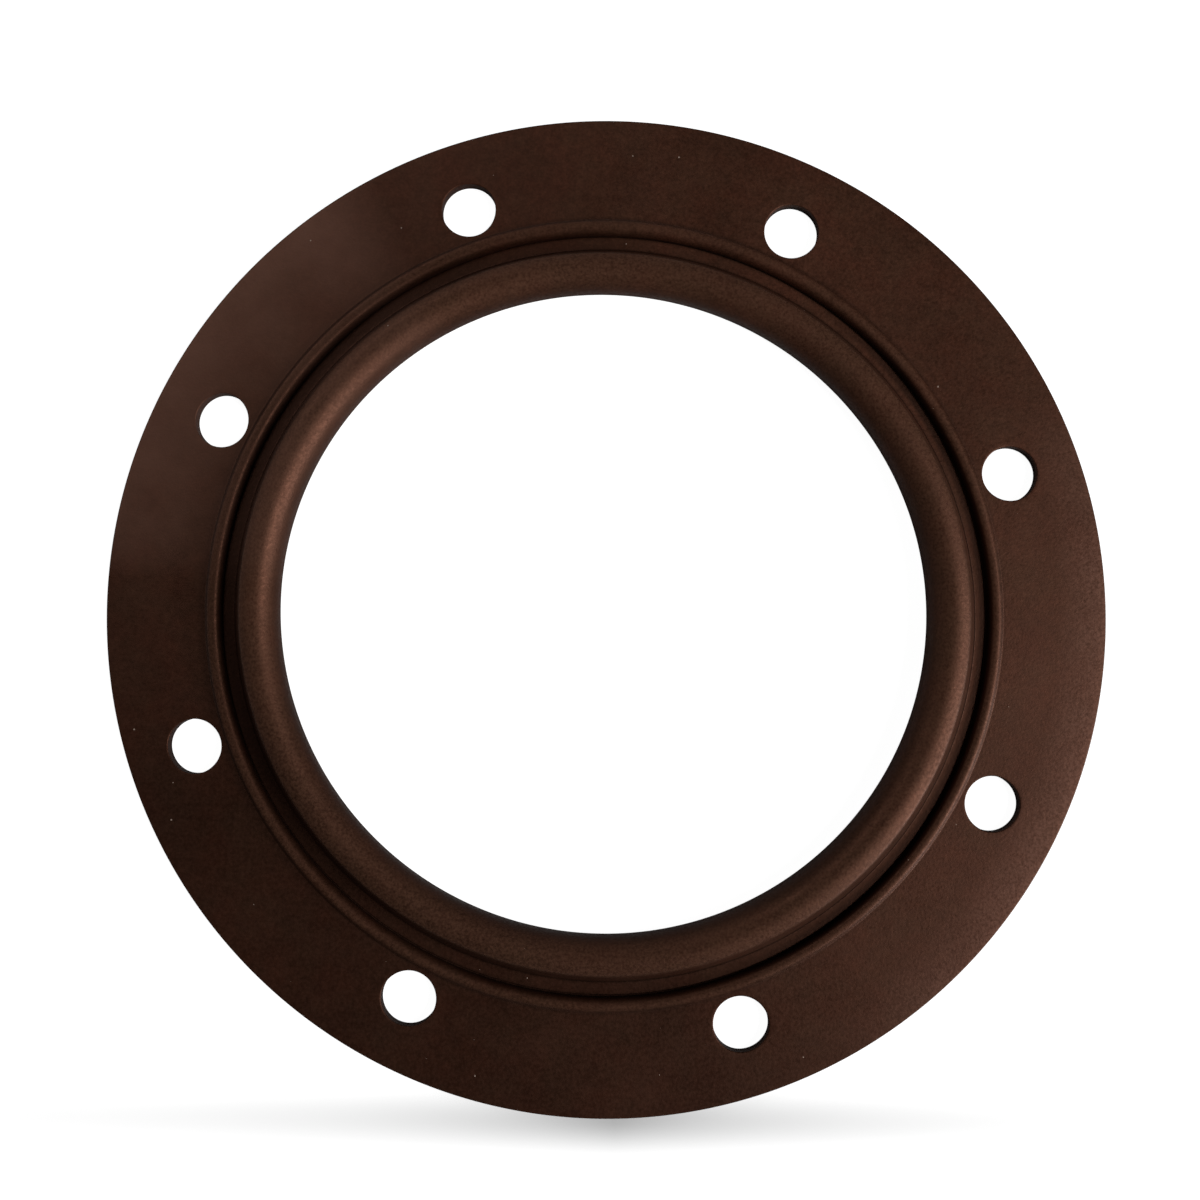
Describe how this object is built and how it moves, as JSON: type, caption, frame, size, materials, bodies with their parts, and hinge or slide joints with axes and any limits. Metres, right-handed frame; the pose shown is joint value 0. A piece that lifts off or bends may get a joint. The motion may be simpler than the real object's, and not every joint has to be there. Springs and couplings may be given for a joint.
{
  "type": "flange gasket",
  "caption": "Round moulded rubber flange gasket: flat bolted flange, low sealing lip and groove, and a raised round bead around the clear bore.",
  "frame": {"origin": "centre of the bore on the back face", "axes": "+Z along the bore axis, out of the side that carries the bead; the bolt holes straddle X and Y"},
  "size_m": [0.175, 0.175, 0.008],
  "materials": {
    "rubber": "dark brown moulded rubber, satin, with faint mottling and dust"
  },
  "bodies": {
    "root": {"flange_gasket": "rubber"}
  },
  "joints": []
}
